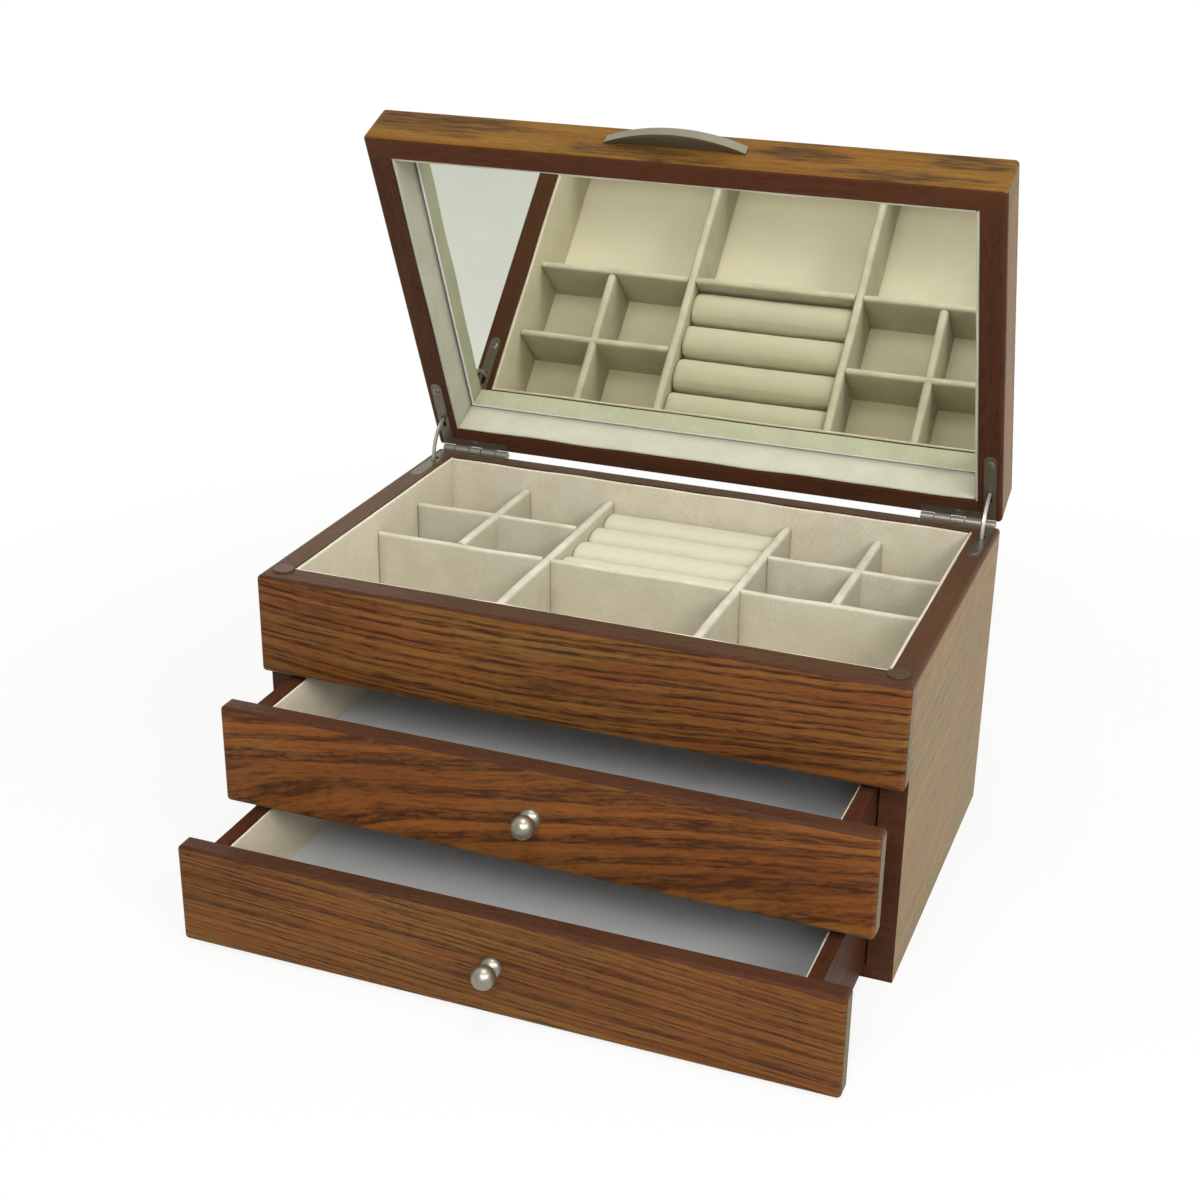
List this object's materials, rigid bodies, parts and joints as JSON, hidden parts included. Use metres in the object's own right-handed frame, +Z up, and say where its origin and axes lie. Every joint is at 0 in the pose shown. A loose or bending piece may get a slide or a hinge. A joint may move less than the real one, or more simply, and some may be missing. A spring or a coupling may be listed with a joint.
{
  "type": "jewelry box with drawers",
  "caption": "Wooden jewelry box with drawers under a divided, lined tray with ring rolls, and a hinged lid with a mirror inside.",
  "frame": {"origin": "centre of the case's base, on the surface it stands on", "axes": "+Z up, -Y to the front where the drawers pull out, +X to the right as seen from the front"},
  "size_m": [0.305, 0.3098, 0.3403],
  "materials": {
    "oak_veneer": "satin lacquered oak veneer, streaky brown grain",
    "mahogany": "dark reddish satin lacquer",
    "cream_lining": "cream velveteen over card",
    "ring_roll_velvet": "cream velvet over foam",
    "mirror_glass": "silvered glass with a bevelled edge",
    "satin_nickel": "satin nickel plate",
    "clear_pad": "clear soft pad"
  },
  "bodies": {
    "case": {"left_side": "oak_veneer", "right_side": "oak_veneer", "back_panel": "oak_veneer", "tray_front_panel": "oak_veneer", "bottom_panel": "mahogany", "drawer_shelf": "mahogany", "tray_floor": "mahogany", "tray_floor_lining": "cream_lining", "tray_wall_lining": "cream_lining", "centre_front_cross_divider": "cream_lining", "left_long_divider": "cream_lining", "left_front_cross_divider": "cream_lining", "left_bay_divider": "cream_lining", "left_bay_cross_divider": "cream_lining", "left_case_hinge_leaf": "satin_nickel", "left_hinge_pin": "satin_nickel", "right_long_divider": "cream_lining", "right_front_cross_divider": "cream_lining", "right_bay_divider": "cream_lining", "right_bay_cross_divider": "cream_lining", "right_case_hinge_leaf": "satin_nickel", "right_hinge_pin": "satin_nickel", "ring_roll_1": "ring_roll_velvet", "ring_roll_2": "ring_roll_velvet", "ring_roll_3": "ring_roll_velvet", "ring_roll_4": "ring_roll_velvet", "rim_bumpers": "clear_pad", "case_hinge_screws": "satin_nickel"},
    "lid": {"lid_front_rail": "oak_veneer", "lid_back_rail": "oak_veneer", "lid_left_rail": "oak_veneer", "lid_right_rail": "oak_veneer", "lid_top_panel": "oak_veneer", "lid_lining": "cream_lining", "mirror": "mirror_glass", "lid_handle": "satin_nickel", "handle_screws": "satin_nickel", "left_lid_hinge_leaf": "satin_nickel", "right_lid_hinge_leaf": "satin_nickel", "lid_hinge_screws": "satin_nickel"},
    "left_stay": {"left_stay": "satin_nickel"},
    "right_stay": {"right_stay": "satin_nickel"},
    "upper_drawer": {"upper_drawer_front": "oak_veneer", "upper_drawer_left_side": "mahogany", "upper_drawer_right_side": "mahogany", "upper_drawer_back": "mahogany", "upper_drawer_bottom": "mahogany", "upper_drawer_lining": "cream_lining", "upper_drawer_knob": "satin_nickel", "upper_drawer_knob_screw": "satin_nickel"},
    "lower_drawer": {"lower_drawer_front": "oak_veneer", "lower_drawer_left_side": "mahogany", "lower_drawer_right_side": "mahogany", "lower_drawer_back": "mahogany", "lower_drawer_bottom": "mahogany", "lower_drawer_lining": "cream_lining", "lower_drawer_knob": "satin_nickel", "lower_drawer_knob_screw": "satin_nickel"}
  },
  "joints": [
    {"name": "lid_hinge", "type": "hinge", "parent": "case", "child": "lid", "pos_m": [0, 0.09805, 0.1487], "axis": [-1, 0, 0], "range_deg": [-66.9, 0]},
    {"name": "upper_drawer_slide", "type": "slide", "parent": "case", "child": "upper_drawer", "axis": [0, -1, 0], "range_m": [-0.0377, 0.0823]},
    {"name": "lower_drawer_slide", "type": "slide", "parent": "case", "child": "lower_drawer", "axis": [0, -1, 0], "range_m": [-0.0797, 0.0403]},
    {"name": "left_stay_swing", "type": "hinge", "parent": "case", "child": "left_stay", "pos_m": [0, 0.09805, 0.1487], "axis": [-1, 0, 0], "range_deg": [-33.45, 0]},
    {"name": "right_stay_swing", "type": "hinge", "parent": "case", "child": "right_stay", "pos_m": [0, 0.09805, 0.1487], "axis": [-1, 0, 0], "range_deg": [-33.45, 0]}
  ],
  "couplings": [
    {"joint": "left_stay_swing", "follows": "lid_hinge", "ratio": 0.5},
    {"joint": "right_stay_swing", "follows": "lid_hinge", "ratio": 0.5}
  ]
}
